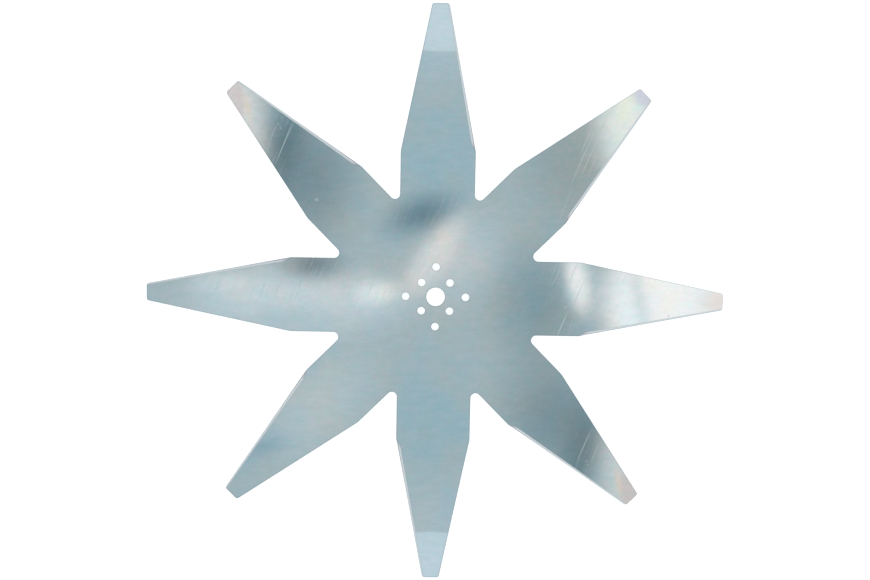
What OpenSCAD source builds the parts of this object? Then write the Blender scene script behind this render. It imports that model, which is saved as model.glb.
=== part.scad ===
// Star blade for a rotary mower: one flat sheet of zinc-plated steel, punched to a ring of tapered points.
// The blade lies on its seating face at z = 0. The spindle axis is Z, and one point lies along +X.
// Each point has one ground cutting edge, on its clockwise side seen from above.

/* [Sheet] */
// Cutting diameter, across the flat ends of two opposite points
cutting_d = 250; // [200:1:320]
// Thickness of the sheet
sheet_t = 1.2; // [0.8:0.1:3]

/* [Points] */
// How many points the star has
point_count = 8; // [5:1:10]
// Width of a point's straight root
root_w = 32.2; // [24:0.1:40]
// Distance from the spindle axis to the shoulder, where a point starts to taper
shoulder_r = 62.8; // [58:0.1:80]
// Radius that rounds the shoulder
shoulder_round = 8; // [1:0.5:30]
// Width of the flat end of a point
tip_w = 7.3; // [4:0.1:16]
// Radius of the two corners of the flat end
tip_round = 1.1; // [0.3:0.1:1.8]
// Radius at the bottom of the notch between two points
notch_round = 2.2; // [0.5:0.1:4]

/* [Cutting edge] */
// Width of the ground bevel at the shoulder, seen from above
bevel_root_w = 1.3; // [0.6:0.05:2.5]
// Width of the ground bevel at the tip, seen from above
bevel_tip_w = 0.65; // [0.4:0.05:2.5]
// Length past the shoulder over which the grind comes in to its full width
grind_run_in = 3; // [1:0.5:8]
// Thickness left standing at the cutting edge, next to the shoulder
edge_land = 0.2; // [0.1:0.05:0.5]

/* [Mounting holes] */
// Diameter of the spindle bore
spindle_bore_d = 8.1; // [4:0.1:12]
// Diameter of every screw hole
screw_hole_d = 3.4; // [2.2:0.1:4.5]
// Screw holes on each of the two circles
screw_count = 4; // [3:1:6]
// Diameter of the outer screw circle, in line with the points
outer_circle_d = 26; // [20:0.1:60]
// Diameter of the inner screw circle, turned to lie between the outer holes
inner_circle_d = 17.4; // [14:0.1:40]

/* [Hidden] */

$fn = 64;
zinc = [0.64, 0.72, 0.75];

// Largest turn between two neighbouring points of an arc, in degrees
arc_step = 7.5;
// How far a cutting tool runs past the metal
overrun = 1;

tip_r = cutting_d / 2;
pitch = 360 / point_count;
taper_run = tip_r - shoulder_r;
taper = atan((root_w - tip_w) / 2 / taper_run);
edge_length = taper_run / cos(taper);
bevel_slope = (sheet_t - edge_land) / bevel_root_w;
// Turns of the two lines that the grind leaves on the top face, from the edge: along it, and where it comes in
bevel_turn = atan((bevel_tip_w - bevel_root_w) / edge_length);
run_in_turn = atan(bevel_root_w / grind_run_in);

// Points on an arc about a centre, from one angle to another
function arc(centre, radius, from, to) =
    let (steps = ceil(abs(to - from) / arc_step))
    [for (i = [0:steps])
        let (angle = from + (to - from) * i / steps)
        centre + radius * [cos(angle), sin(angle)]];

function mirrored(path) = [for (i = [len(path) - 1:-1:0]) [path[i].x, -path[i].y]];

function turned(path, angle) =
    [for (p = path) [p.x * cos(angle) - p.y * sin(angle), p.x * sin(angle) + p.y * cos(angle)]];

// Centres of the three arcs on the counter-clockwise side of the point along +X
tip_centre = [tip_r - tip_round, tip_w / 2 + tip_round * (tan(taper) - 1 / cos(taper))];
shoulder_centre = [shoulder_r - shoulder_round * tan(taper / 2), root_w / 2 - shoulder_round];
notch_centre = [(root_w / 2 + notch_round) / tan(pitch / 2), root_w / 2 + notch_round];

// That side from its tip corner in to the bottom of the notch, then the whole point
point_side = concat(
    arc(tip_centre, tip_round, 0, 90 - taper),
    arc(shoulder_centre, shoulder_round, 90 - taper, 90),
    arc(notch_centre, notch_round, -90, pitch / 2 - 180)
);
point_path = concat(mirrored(point_side), point_side);

module star_outline() {
    // The last point of each path is the first of the next, at the bottom of their notch
    polygon([
        for (i = [0:point_count - 1])
            each turned([for (j = [1:len(point_path) - 1]) point_path[j]], i * pitch)
    ]);
}

// What a slope clears that starts on the top face along the X axis and falls towards -Y as far as its reach
module slope_clearance(reach) {
    translate([-overrun, 0, sheet_t])
        rotate([90, 0, 90])
            linear_extrude(edge_length + 2 * overrun)
                polygon([
                    [overrun, overrun * bevel_slope],
                    [-reach, overrun * bevel_slope],
                    [-reach, -reach * bevel_slope]
                ]);
}

// The metal that is ground away along the clockwise edge of the point along +X, from its shoulder to its tip
module edge_grind() {
    translate([shoulder_r, -root_w / 2, 0])
        rotate(taper)
            intersection() {
                translate([0, bevel_root_w, 0])
                    rotate(bevel_turn)
                        slope_clearance(bevel_root_w + bevel_tip_w + overrun);
                rotate(run_in_turn)
                    slope_clearance(edge_length + overrun);
            }
}

module hole(d) {
    translate([0, 0, -overrun])
        cylinder(d = d, h = sheet_t + 2 * overrun);
}

module screw_circle(circle_d, phase) {
    for (i = [0:screw_count - 1])
        rotate(phase + i * 360 / screw_count)
            translate([circle_d / 2, 0, 0])
                hole(screw_hole_d);
}

module blade() {
    color(zinc)
        difference() {
            linear_extrude(sheet_t)
                star_outline();
            for (i = [0:point_count - 1])
                rotate(i * pitch)
                    edge_grind();
            hole(spindle_bore_d);
            screw_circle(outer_circle_d, 0);
            screw_circle(inner_circle_d, 180 / screw_count);
        }
}

blade();
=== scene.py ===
"""Star blade of a rotary mower: its zinc finish, a plain studio and the camera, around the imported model."""
import math
from typing import NamedTuple

import bpy
from bpy.props import FloatProperty, FloatVectorProperty, IntProperty, PointerProperty
from bpy.types import NodeSocket, Operator, Panel, PropertyGroup, Scene
from mathutils import Matrix, Vector


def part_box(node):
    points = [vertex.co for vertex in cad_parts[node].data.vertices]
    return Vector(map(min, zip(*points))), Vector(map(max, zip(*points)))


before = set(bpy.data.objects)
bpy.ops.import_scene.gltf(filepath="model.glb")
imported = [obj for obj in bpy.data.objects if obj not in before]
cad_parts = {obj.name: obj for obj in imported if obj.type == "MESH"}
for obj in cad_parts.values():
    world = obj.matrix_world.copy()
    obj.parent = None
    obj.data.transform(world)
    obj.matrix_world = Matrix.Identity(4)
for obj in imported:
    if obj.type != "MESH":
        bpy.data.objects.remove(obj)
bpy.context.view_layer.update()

bl_info = {
    "name": "Star mower blade",
    "version": (1, 0, 0),
    "blender": (4, 5, 0),
    "location": "View3D > Sidebar > Mower blade",
    "description": "Finishes the sheet-steel star blade and builds its studio",
    "category": "Object",
}

MM = 0.001

blade_low, blade_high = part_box("blade")
TOP_FACE_MM = blade_high.z / MM

# Marks reach this far below and above the top face, so the underside stays clear of them
MARK_DEPTH_MM = 0.5
# Real scratches are a tenth as wide, too fine to show. Half their length reaches further, to fade out
SCRATCH_HALF_WIDTH_MM = 0.25
SCRATCH_REACH = 0.55
SCRATCH_FADE = 0.6

# The film drifts slowly and is mottled finely, and rinse streaks are longer along X
FILM_DRIFT_MM = 18.0
MOTTLE_MM = 3.0
STREAK_MM = (7.0, 3.0, 3.0)
# Rolling grain, hairline scratches and grinding grit are really about a tenth as coarse, too fine to show
GRAIN_MM = (18.0, 0.9, 0.9)
HAIRLINE_MM = (18.0, 0.5, 0.5)
GRIT_MM = 0.5
# Length of the low waves that rolling leaves in the sheet
WAVE_MM = 36.0

# The part of each noise's range that shows: of hairlines only the peaks
DRIFT_SPAN = (0.35, 0.65)
STREAK_SPAN = (0.25, 0.75)
FINE_SPAN = (0.3, 0.7)
HAIRLINE_SPAN = (0.58, 0.72)
# What mottle and streaks multiply the colour by, and grain and grit the roughness
GREEN_TINT = (0.935, 1.013, 0.975)
LILAC_TINT = (1.065, 0.987, 1.025)
STREAK_SHADE = (0.95, 1.05)
HAZE_SHARE = (0.92, 1.1)
GRIT_SHARE = (0.7, 1.3)
# How far a hairline goes from plain plating to a full scratch
HAIRLINE_STRENGTH = 0.15

# Upward part of the normal: from flat face to edge, and on a ground edge within a tolerance
EDGE_SPAN = (0.95, 0.8)
GRIND_LEVEL = 0.79
GRIND_TOLERANCE = 0.1
# How far in from a rim the colour is darkened, drawn about twice as wide as the real line to show
DARK_RIM_MM = 0.5
# Share of the directions into the metal that are free that far: well inside the sheet, and on a rim
BACKING_SPAN = (1.0, 0.65)
# Painted shade over a grind where it comes in at its shoulder. Distances from the spindle axis, from none to
# full
RUN_IN_SPAN_MM = (68.5, 66.0)
RUN_IN_SHADE = 0.6

# Corners this close are joined, faces this flat to each other merge, and rims sharper than this are rounded
JOIN_MM = 0.001
FLAT_DEGREES = 0.5
RIM_DEGREES = 45.0

# Heights of a direction in the room: the least one for placing cards, and where walls take over from them
LOWEST_HEIGHT = 0.1
WALL_SPAN = (0.6, 0.3)
# Light that the paper adds where it is seen, to show white
PAPER_GLOW = 0.55
CLIP_START_MM = 10.0


def linear(hex_colour):
    """Linear RGB of an sRGB hex colour."""
    channels = [int(hex_colour[i:i + 2], 16) / 255 for i in (1, 3, 5)]
    return tuple(c / 12.92 if c <= 0.04045 else ((c + 0.055) / 1.055) ** 2.4 for c in channels)


def rgba(hex_colour, level=1.0):
    """The same colour at a level, as a colour socket takes it."""
    return tuple(level * c for c in linear(hex_colour)) + (1.0,)


def spread(span, onto=(0.0, 1.0)):
    """Inputs of a map range that takes one span of values onto another."""
    return {"From Min": span[0], "From Max": span[1], "To Min": onto[0], "To Max": onto[1]}


class Mark(NamedTuple):
    """A soft elliptical spot on the top face: middle and half sizes in mm, and turn in degrees from +X."""
    x: float
    y: float
    half_length: float
    half_width: float
    turn: float = 0.0
    # Share of the half sizes over which the spot fades out
    fade: float = 1.0
    strength: float = 1.0


class Patch(NamedTuple):
    """A colour over a spot: a stain on the plating, or a card in the room by where the blade mirrors it."""
    name: str
    mark: Mark
    colour: str
    level: float = 1.0


# The sheet was rolled, stacked and slid one way, so its scratches share one direction
SLIDING_TURN = 68.0


def scratch(x, y, length, strength=0.6):
    """A straight scratch about a point on the top face, in mm."""
    half_length = length * SCRATCH_REACH
    return Mark(x, y, half_length, SCRATCH_HALF_WIDTH_MM, SLIDING_TURN, SCRATCH_FADE, strength)


def ding(x, y, radius=0.6, strength=0.35):
    """A small round dent."""
    return Mark(x, y, radius, radius, SLIDING_TURN, 1.0, strength)


SCRATCHES = (
    scratch(-73.2, 76.5, 16.0, 0.7),
    scratch(-71.2, 68.0, 12.0, 0.45),
    scratch(-66.2, 64.5, 20.0, 0.6),
    scratch(74.0, -73.4, 15.0, 0.5),
    scratch(71.4, -67.5, 12.0, 0.35),
    scratch(66.3, -64.8, 19.0, 0.4),
    scratch(63.5, 68.8, 16.0, 0.5),
    scratch(62.2, 61.5, 33.5, 0.5),
    scratch(66.5, 65.4, 32.4),
    scratch(54.8, 39.8, 23.2, 0.3),
    scratch(55.2, -11.3, 13.5, 0.9),
    scratch(-58.4, 5.5, 5.3, 0.4),
)

DINGS = (
    ding(-67.6, 71.2),
    ding(-67.2, 75.8),
    ding(-68.6, 73.0),
    ding(-74.0, 71.2),
    ding(-63.2, 49.6),
    ding(-52.0, 41.0, 1.3, 0.7),
    ding(67.8, -71.2),
    ding(68.5, -73.0),
    ding(67.6, -75.5),
    ding(56.3, -3.5),
)

# Where the passivation film dried thicker or thinner, and one speck of dirt
STAINS = (
    Patch("upper plating line", Mark(0, 150, 45.8, 60, 90, 0.03), "#E2EAEE"),
    Patch("lower plating line", Mark(0, -150, 46.3, 60, 90, 0.03), "#E2EAEE"),
    Patch("rosy upper left tip", Mark(-94, 84, 20, 12.5, 103, 0.3, 0.8), "#C6C2C5"),
    Patch("straw upper left tip", Mark(-81.5, 79, 10, 2.4, 103, 1.0, 0.6), "#DAD0C0"),
    Patch("rosy lower right tip", Mark(94, -84, 20, 12.5, 103, 0.3, 0.8), "#C6C2C5"),
    Patch("straw lower right tip", Mark(82, -80, 10, 2.4, 103, 1.0, 0.6), "#DAD0C0"),
    Patch("straw upper right tip", Mark(80, 84, 12, 5, 68, 0.8, 0.35), "#DADBC6"),
    Patch("lilac upper right tip", Mark(89, 89, 8, 10, 45, 0.6, 0.95), "#B8BDD0"),
    Patch("grey right tip", Mark(127, 0, 20, 12, 0, 0.9, 0.8), "#BEBCBA"),
    Patch("speck", Mark(101.6, -6.5, 0.7, 0.7, 0, 1.0, 0.4), "#6E777A"),
)

# The room overhead, as the blade mirrors it to the camera: pale windows and dark flags between them
CARDS = (
    Patch("upper fill", Mark(0, 60, 36, 30, 90), "#BBD6DF"),
    Patch("lower fill", Mark(0, -58, 36, 30, 90), "#B8D4DD"),
    Patch("upper end", Mark(0, 118, 40, 40, 90), "#D8E6EC"),
    Patch("lower end", Mark(0, -118, 52, 40, 90), "#D2E2E9"),
    Patch("right fill", Mark(46, -2, 34, 44), "#A0B6BC"),
    Patch("left window", Mark(-62, -3, 66, 22, 0, 0.8), "#F6FCFF"),
    Patch("left shade", Mark(-62, -11, 44, 10), "#D4E7ED"),
    Patch("left window end", Mark(-90, 4.5, 24, 6.5), "#FBFFFF", 1.05),
    Patch("lower left window", Mark(-50, -48, 46, 26, 45, 0.9), "#DAE6E9"),
    Patch("lower left flag", Mark(-74, -67.5, 16, 7, 20), "#A3C3CF"),
    Patch("upper left shade", Mark(-54, 50, 46, 31, 78), "#97ACB3"),
    Patch("upper left flag", Mark(-66, 63.5, 44, 15, 78), "#768F97"),
    Patch("lower right shade", Mark(54, -52, 46, 40, 78), "#97ADB4"),
    Patch("lower right flag", Mark(65.5, -66.5, 44, 14, 78), "#7B949C"),
    Patch("upper right shade", Mark(57, 58, 46, 34, 103), "#B8C1BF"),
    Patch("upper left window", Mark(-89, 84, 50, 17.3, 103, 0.72), "#FFFAF6", 1.1),
    Patch("upper right window", Mark(87, 71.5, 50, 24, 103, 0.6), "#FFFDF4", 1.25),
    Patch("lower right window", Mark(89, -84, 50, 18, 103, 0.72), "#FFFAF6", 1.0),
    Patch("right window", Mark(130, 0, 64.5, 50, 0, 0.27), "#FFF9F5", 1.42),
    Patch("right window bar", Mark(88.5, 1, 30, 4, 103, 0.8), "#F4FAFA", 1.02),
    Patch("right strip", Mark(61.6, 8.2, 21, 7, 103, 0.7), "#FFFBF8", 1.4),
    Patch("left flag", Mark(-53, 12.5, 21, 9, 4, 1.0, 0.85), "#788082"),
    Patch("hub glow", Mark(10, 16, 34, 24, 50), "#E8ECED"),
    Patch("hub flag", Mark(-6.5, 35.8, 25, 12, 20), "#7293A0"),
    Patch("hub window", Mark(-0.7, 17.7, 29, 9.5, 56, 0.7), "#FBF3EE", 1.15),
    Patch("lamp glint", Mark(-25.5, 1.2, 15, 7.5, 4), "#FFFBF4", 1.38),
)


class ZincFinish(PropertyGroup):
    """The plating on the sheet."""
    blue_film: FloatVectorProperty(
        name="Blue film", description="Zinc under the thicker passivation film", subtype="COLOR",
        default=linear("#C6D4DA"))
    grey_film: FloatVectorProperty(
        name="Grey film", description="Zinc under the thinner passivation film", subtype="COLOR",
        default=linear("#D0D4D4"))
    edge_colour: FloatVectorProperty(
        name="Edges", description="Zinc on cut walls and ground edges", subtype="COLOR",
        default=linear("#CCD3D7"))
    # Colours laid along the rims and, darker still, along the ground cutting edges
    rim_colour: FloatVectorProperty(
        name="Rims", description="Dull zinc along the rims", subtype="COLOR",
        default=linear("#B6B8BB"))
    cutting_rim_colour: FloatVectorProperty(
        name="Burr", description="Dark zinc on the burr of the cutting edges", subtype="COLOR",
        default=linear("#726F7A"))
    roughness: FloatProperty(
        name="Roughness", description="Roughness of the bright plating", subtype="FACTOR",
        default=0.055, min=0.0, max=1.0)
    scratch_roughness: FloatProperty(
        name="Scratch roughness", description="Roughness inside scratches and dents", subtype="FACTOR",
        default=0.35, min=0.0, max=1.0)
    edge_roughness: FloatProperty(
        name="Edge roughness", description="Roughness of cut walls and ground edges", subtype="FACTOR",
        default=0.28, min=0.0, max=1.0)
    wave_height: FloatProperty(
        name="Waves", description="Height of the low waves in the sheet", unit="LENGTH",
        default=0.012 * MM, min=0.0)
    rim_round: FloatProperty(
        name="Rim rounding", description="Radius that punching and grinding leave on the rims",
        unit="LENGTH", default=0.08 * MM, min=0.0)
    rim_steps: IntProperty(
        name="Rim steps", description="Faces across a rounded rim", default=2, min=1)


class StudioStage(PropertyGroup):
    """The studio around the blade."""
    lens: FloatProperty(
        name="Lens", description="Focal length on a 36 mm wide sensor", unit="CAMERA", default=40.0)
    camera_place: FloatVectorProperty(
        name="Camera", description="Where the camera hangs over the blade", subtype="TRANSLATION",
        default=(-4.3 * MM, 36.0 * MM, 419.0 * MM))
    camera_target: FloatVectorProperty(
        name="Target", description="The point at the middle of the picture", subtype="TRANSLATION",
        default=(-0.3 * MM, 3.0 * MM, blade_high.z))
    camera_roll: FloatProperty(
        name="Roll", description="Turn of the camera about its own axis", subtype="ANGLE",
        default=math.radians(-1.1))
    floor_size: FloatProperty(
        name="Floor", description="Side of the square floor", unit="LENGTH", default=12.0)
    floor_colour: FloatVectorProperty(
        name="Floor colour", description="White paper", subtype="COLOR", default=linear("#F4F4F4"))
    ceiling_colour: FloatVectorProperty(
        name="Ceiling", description="Cool grey of the unlit ceiling", subtype="COLOR",
        default=linear("#C8D7DB"))
    wall_colour: FloatVectorProperty(
        name="Walls", description="White walls", subtype="COLOR", default=linear("#FFFFFF"))


def add(tree, kind, inputs=None, **settings):
    """Adds a node and gives its outputs by name. An input takes a value or the socket that feeds it."""
    node = tree.nodes.new(kind)
    for name, value in settings.items():
        setattr(node, name, value)
    in_use = [socket for socket in node.inputs if socket.enabled]
    by_name = {socket.name: socket for socket in reversed(in_use)}
    for key, value in (inputs or {}).items():
        socket = in_use[key] if isinstance(key, int) else by_name[key]
        if isinstance(value, NodeSocket):
            tree.links.new(value, socket)
        else:
            socket.default_value = value
    return {socket.name: socket for socket in node.outputs if socket.enabled}


def turned(tree, place, turn):
    """Place in axes turned about Z, by degrees."""
    return add(tree, "ShaderNodeVectorRotate", {
        "Vector": place, "Angle": -math.radians(turn)}, rotation_type="Z_AXIS")["Vector"]


def spots(tree, place, marks):
    """A mask for each mark: its strength in the middle, 0 at its edge. Place is in mm over the top face."""
    axes = {turn: turned(tree, place, turn) for turn in dict.fromkeys(mark.turn for mark in marks)}
    masks = []
    for mark in marks:
        middle = Matrix.Rotation(-math.radians(mark.turn), 3, "Z") @ Vector((mark.x, mark.y, 0))
        halves = (mark.half_length, mark.half_width, MARK_DEPTH_MM)
        local = add(tree, "ShaderNodeVectorMath", {
            0: axes[mark.turn],
            1: [1 / half for half in halves],
            2: [-m / half for m, half in zip(middle, halves)],
        }, operation="MULTIPLY_ADD")["Vector"]
        inward = add(tree, "ShaderNodeTexGradient", {"Vector": local}, gradient_type="SPHERICAL")["Fac"]
        masks.append(add(tree, "ShaderNodeMapRange", {
            "Value": inward, "From Max": mark.fade, "To Max": mark.strength,
        }, interpolation_type="SMOOTHSTEP")["Result"])
    return masks


def strongest(tree, masks):
    """The strongest of several masks at each place."""
    most = masks[0]
    for mask in masks[1:]:
        most = add(tree, "ShaderNodeMath", {0: most, 1: mask}, operation="MAXIMUM")["Value"]
    return most


def patched(tree, colour, place, patches):
    """A colour with patches laid over it in order."""
    for patch, mask in zip(patches, spots(tree, place, [patch.mark for patch in patches])):
        colour = add(tree, "ShaderNodeMix", {
            "Factor": mask, "A": colour, "B": rgba(patch.colour, patch.level),
        }, label=patch.name, data_type="RGBA")["Result"]
    return colour


def zinc_plated_steel(finish):
    """Bright zinc on rolled sheet, passivated blue: a cool soft mirror with a drifting tint and scratches."""
    material = bpy.data.materials.new("zinc_plated_steel")
    material.use_nodes = True
    tree = material.node_tree
    tree.nodes.clear()
    coordinates = add(tree, "ShaderNodeTexCoord")
    place = add(tree, "ShaderNodeVectorMath", {
        0: coordinates["Object"], 1: (1 / MM,) * 3, 2: (0, 0, -TOP_FACE_MM),
    }, operation="MULTIPLY_ADD")["Vector"]

    # The film drifts between blue and grey over a few centimetres
    drift = add(tree, "ShaderNodeTexNoise", {
        "Vector": place, "Scale": 1 / FILM_DRIFT_MM, "Detail": 2.0, "Roughness": 0.55})["Fac"]
    greying = add(tree, "ShaderNodeMapRange", {"Value": drift, **spread(DRIFT_SPAN)})["Result"]
    film = add(tree, "ShaderNodeMix", {
        "Factor": greying, "A": (*finish.blue_film, 1), "B": (*finish.grey_film, 1),
    }, data_type="RGBA")["Result"]
    film = patched(tree, film, place, STAINS)

    # Closer up it is mottled green and lilac, and rinse water that ran off along X left short streaks
    mottle = add(tree, "ShaderNodeTexNoise", {
        "Vector": place, "Scale": 1 / MOTTLE_MM, "Detail": 2.0, "Roughness": 0.7})["Fac"]
    lilac = add(tree, "ShaderNodeMapRange", {"Value": mottle, **spread(FINE_SPAN)})["Result"]
    tint = add(tree, "ShaderNodeMix", {
        "Factor": lilac, "A": (*GREEN_TINT, 1), "B": (*LILAC_TINT, 1)}, data_type="RGBA")["Result"]
    flow = add(tree, "ShaderNodeVectorMath", {0: place, 1: STREAK_MM}, operation="DIVIDE")["Vector"]
    streak = add(tree, "ShaderNodeTexNoise", {
        "Vector": flow, "Scale": 1.0, "Detail": 3.0, "Roughness": 0.75})["Fac"]
    shade = add(tree, "ShaderNodeMapRange", {
        "Value": streak, **spread(STREAK_SPAN, STREAK_SHADE)})["Result"]
    tint = add(tree, "ShaderNodeVectorMath", {0: tint, "Scale": shade}, operation="SCALE")["Vector"]
    film = add(tree, "ShaderNodeVectorMath", {0: film, 1: tint}, operation="MULTIPLY")["Vector"]

    # Sliding left scratches, hairlines, dents and a fine grain one way, rougher than the plating round them
    sliding = turned(tree, place, SLIDING_TURN)
    along = add(tree, "ShaderNodeVectorMath", {0: sliding, 1: GRAIN_MM}, operation="DIVIDE")["Vector"]
    grain = add(tree, "ShaderNodeTexNoise", {"Vector": along, "Scale": 1.0, "Detail": 2.0})["Fac"]
    hazes = [share * finish.roughness for share in HAZE_SHARE]
    haze = add(tree, "ShaderNodeMapRange", {"Value": grain, **spread(FINE_SPAN, hazes)})["Result"]
    fine = add(tree, "ShaderNodeVectorMath", {0: sliding, 1: HAIRLINE_MM}, operation="DIVIDE")["Vector"]
    hair = add(tree, "ShaderNodeTexNoise", {"Vector": fine, "Scale": 1.0, "Detail": 1.0})["Fac"]
    hairlines = add(tree, "ShaderNodeMapRange", {
        "Value": hair, **spread(HAIRLINE_SPAN, (0.0, HAIRLINE_STRENGTH))})["Result"]
    scored = strongest(tree, [*spots(tree, place, SCRATCHES + DINGS), hairlines])
    roughness = add(tree, "ShaderNodeMix", {
        "Factor": scored, "A": haze, "B": finish.scratch_roughness})["Result"]

    # Cut walls and ground edges face sideways and keep a grit under the zinc
    upward = add(tree, "ShaderNodeSeparateXYZ", {0: coordinates["Normal"]})["Z"]
    level = add(tree, "ShaderNodeMath", {0: upward}, operation="ABSOLUTE")["Value"]
    edge = add(tree, "ShaderNodeMapRange", {"Value": level, **spread(EDGE_SPAN)})["Result"]
    grit = add(tree, "ShaderNodeTexNoise", {"Vector": place, "Scale": 1 / GRIT_MM, "Detail": 2.0})["Fac"]
    grits = [share * finish.edge_roughness for share in GRIT_SHARE]
    ground = add(tree, "ShaderNodeMapRange", {"Value": grit, **spread(FINE_SPAN, grits)})["Result"]
    roughness = add(tree, "ShaderNodeMix", {"Factor": edge, "A": roughness, "B": ground})["Result"]
    colour = add(tree, "ShaderNodeMix", {
        "Factor": edge, "A": film, "B": (*finish.edge_colour, 1)}, data_type="RGBA")["Result"]

    # Close to a rim the metal behind the surface runs out, and there the colour turns to the darker rim
    # colour
    backing = add(tree, "ShaderNodeAmbientOcclusion", {
        "Distance": DARK_RIM_MM * MM}, samples=4, inside=True, only_local=True)["AO"]
    darkening = add(tree, "ShaderNodeMapRange", {"Value": backing, **spread(BACKING_SPAN)})["Result"]

    # On a ground edge the rim colour is darker still. The whole grind where it comes in at its shoulder gets
    # painted shade
    cutting = add(tree, "ShaderNodeMath", {
        0: level, 1: GRIND_LEVEL, 2: GRIND_TOLERANCE}, operation="COMPARE")["Value"]
    reach = add(tree, "ShaderNodeVectorMath", {0: place}, operation="LENGTH")["Value"]
    near_shoulder = add(tree, "ShaderNodeMapRange", {
        "Value": reach, **spread(RUN_IN_SPAN_MM, (0.0, RUN_IN_SHADE))})["Result"]
    run_in_shade = add(tree, "ShaderNodeMath", {0: cutting, 1: near_shoulder}, operation="MULTIPLY")["Value"]
    darkening = strongest(tree, [darkening, run_in_shade])
    rim = add(tree, "ShaderNodeMix", {
        "Factor": cutting, "A": (*finish.rim_colour, 1), "B": (*finish.cutting_rim_colour, 1),
    }, data_type="RGBA")["Result"]
    colour = add(tree, "ShaderNodeMix", {"Factor": darkening, "A": colour, "B": rim}, data_type="RGBA")["Result"]

    # The sheet is never quite flat: low waves bend what it mirrors
    wave = add(tree, "ShaderNodeTexNoise", {"Vector": place, "Scale": 1 / WAVE_MM, "Detail": 1.0})["Fac"]
    waved = add(tree, "ShaderNodeBump", {"Distance": finish.wave_height, "Height": wave})["Normal"]

    surface = add(tree, "ShaderNodeBsdfPrincipled", {
        "Base Color": colour, "Metallic": 1.0, "Roughness": roughness, "Normal": waved})["BSDF"]
    add(tree, "ShaderNodeOutputMaterial", {"Surface": surface})
    return material


class MOWERBLADE_OT_finish_blade(Operator):
    """Rounds the blade's rims and gives it its zinc plating"""
    bl_idname = "mower_blade.finish_blade"
    bl_label = "Finish the blade"

    def execute(self, context):
        finish = context.scene.zinc_finish
        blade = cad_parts["blade"]
        blade.data.materials.clear()
        blade.data.materials.append(zinc_plated_steel(finish))

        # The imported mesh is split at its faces: join it, merge its flat triangles, then round its rims
        weld = blade.modifiers.new("joined", "WELD")
        weld.merge_threshold = JOIN_MM * MM
        flat = blade.modifiers.new("flat_faces", "DECIMATE")
        flat.decimate_type = "DISSOLVE"
        flat.angle_limit = math.radians(FLAT_DEGREES)
        rims = blade.modifiers.new("rims", "BEVEL")
        rims.width = finish.rim_round
        rims.segments = finish.rim_steps
        rims.limit_method = "ANGLE"
        rims.angle_limit = math.radians(RIM_DEGREES)
        rims.use_clamp_overlap = False
        rims.harden_normals = True
        return {"FINISHED"}


def studio_world(stage):
    """A pale room: white walls, a cool ceiling, and soft cards where the blade mirrors them to the camera."""
    world = bpy.data.worlds.new("studio")
    world.use_nodes = True
    tree = world.node_tree
    tree.nodes.clear()
    direction = add(tree, "ShaderNodeTexCoord")["Generated"]
    height = add(tree, "ShaderNodeSeparateXYZ", {0: direction})["Z"]
    above = add(tree, "ShaderNodeMath", {0: height, 1: LOWEST_HEIGHT}, operation="MAXIMUM")["Value"]
    # Where the ray meets a ceiling as high over the blade as the camera, in mm on the blade that mirrors it
    camera = (Vector(stage.camera_place) - Vector((0, 0, blade_high.z))) / MM
    on_plane = add(tree, "ShaderNodeVectorMath", {0: direction, 1: above}, operation="DIVIDE")["Vector"]
    mirrored = add(tree, "ShaderNodeVectorMath", {
        0: on_plane, 1: (camera.z, camera.z, 0), 2: (camera.x, camera.y, 0),
    }, operation="MULTIPLY_ADD")["Vector"]
    light = patched(tree, (*stage.ceiling_colour, 1), mirrored, CARDS)
    wall = add(tree, "ShaderNodeMapRange", {"Value": height, **spread(WALL_SPAN)})["Result"]
    light = add(tree, "ShaderNodeMix", {
        "Factor": wall, "A": light, "B": (*stage.wall_colour, 1)}, data_type="RGBA")["Result"]
    background = add(tree, "ShaderNodeBackground", {"Color": light})["Background"]
    add(tree, "ShaderNodeOutputWorld", {"Surface": background})
    return world


def white_paper(stage):
    """Matt white paper: it shows white to the camera and in metal, and keeps the blade's soft shadow."""
    material = bpy.data.materials.new("white_paper")
    material.use_nodes = True
    tree = material.node_tree
    tree.nodes.clear()
    paper = add(tree, "ShaderNodeBsdfDiffuse", {"Color": (*stage.floor_colour, 1)})["BSDF"]
    path = add(tree, "ShaderNodeLightPath")
    seen = path["Is Camera Ray"]
    for ray in ("Is Glossy Ray", "Is Transmission Ray"):
        seen = add(tree, "ShaderNodeMath", {0: seen, 1: path[ray]}, operation="MAXIMUM")["Value"]
    strength = add(tree, "ShaderNodeMath", {0: seen, 1: PAPER_GLOW}, operation="MULTIPLY")["Value"]
    glow = add(tree, "ShaderNodeEmission", {"Strength": strength})["Emission"]
    both = add(tree, "ShaderNodeAddShader", {0: paper, 1: glow})["Shader"]
    add(tree, "ShaderNodeOutputMaterial", {"Surface": both})
    return material


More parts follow.
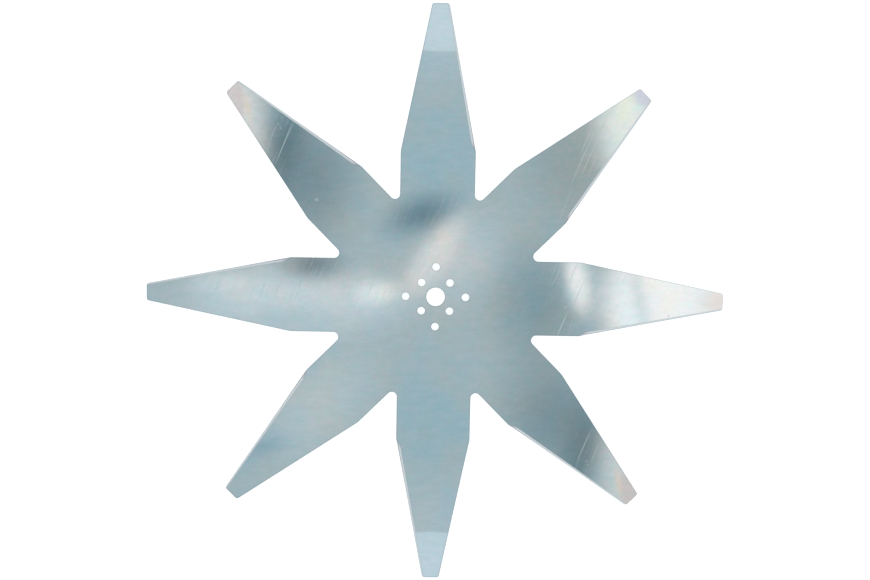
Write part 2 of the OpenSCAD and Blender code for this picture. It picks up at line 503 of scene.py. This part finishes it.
class MOWERBLADE_OT_build_stage(Operator):
    """Builds the white floor, the studio's light and the camera"""
    bl_idname = "mower_blade.build_stage"
    bl_label = "Build the studio"

    def execute(self, context):
        stage = context.scene.studio_stage
        half = stage.floor_size / 2
        mesh = bpy.data.meshes.new("floor")
        corners = [(-half, -half, 0), (half, -half, 0), (half, half, 0), (-half, half, 0)]
        mesh.from_pydata(corners, [], [(0, 1, 2, 3)])
        mesh.materials.append(white_paper(stage))
        floor = bpy.data.objects.new("floor", mesh)
        floor.location.z = blade_low.z
        context.collection.objects.link(floor)

        context.scene.world = studio_world(stage)
        context.scene.view_settings.view_transform = "Standard"

        lens = bpy.data.cameras.new("camera")
        lens.lens = stage.lens
        lens.clip_start = CLIP_START_MM * MM
        camera = bpy.data.objects.new("camera", lens)
        gaze = (Vector(stage.camera_target) - Vector(stage.camera_place)).normalized()
        right = gaze.cross((math.sin(stage.camera_roll), math.cos(stage.camera_roll), 0)).normalized()
        turn = Matrix((right, right.cross(gaze), -gaze)).transposed()
        camera.matrix_world = Matrix.Translation(stage.camera_place) @ turn.to_4x4()
        context.collection.objects.link(camera)
        context.scene.camera = camera
        return {"FINISHED"}


class MOWERBLADE_PT_sidebar(Panel):
    """Steps and settings of the blade"""
    bl_idname = "MOWERBLADE_PT_sidebar"
    bl_label = "Mower blade"
    bl_space_type = "VIEW_3D"
    bl_region_type = "UI"
    bl_category = "Mower blade"

    def draw(self, context):
        for operator in (MOWERBLADE_OT_finish_blade, MOWERBLADE_OT_build_stage):
            self.layout.operator(operator.bl_idname)
        for group in (context.scene.zinc_finish, context.scene.studio_stage):
            box = self.layout.box()
            for name in group.__annotations__:
                box.prop(group, name)


CLASSES = (
    ZincFinish,
    StudioStage,
    MOWERBLADE_OT_finish_blade,
    MOWERBLADE_OT_build_stage,
    MOWERBLADE_PT_sidebar,
)


def register():
    for cls in CLASSES:
        bpy.utils.register_class(cls)
    Scene.zinc_finish = PointerProperty(type=ZincFinish)
    Scene.studio_stage = PointerProperty(type=StudioStage)


def unregister():
    del Scene.studio_stage
    del Scene.zinc_finish
    for cls in reversed(CLASSES):
        bpy.utils.unregister_class(cls)


def main():
    register()
    bpy.ops.mower_blade.finish_blade()
    bpy.ops.mower_blade.build_stage()


if __name__ == "__main__":
    main()
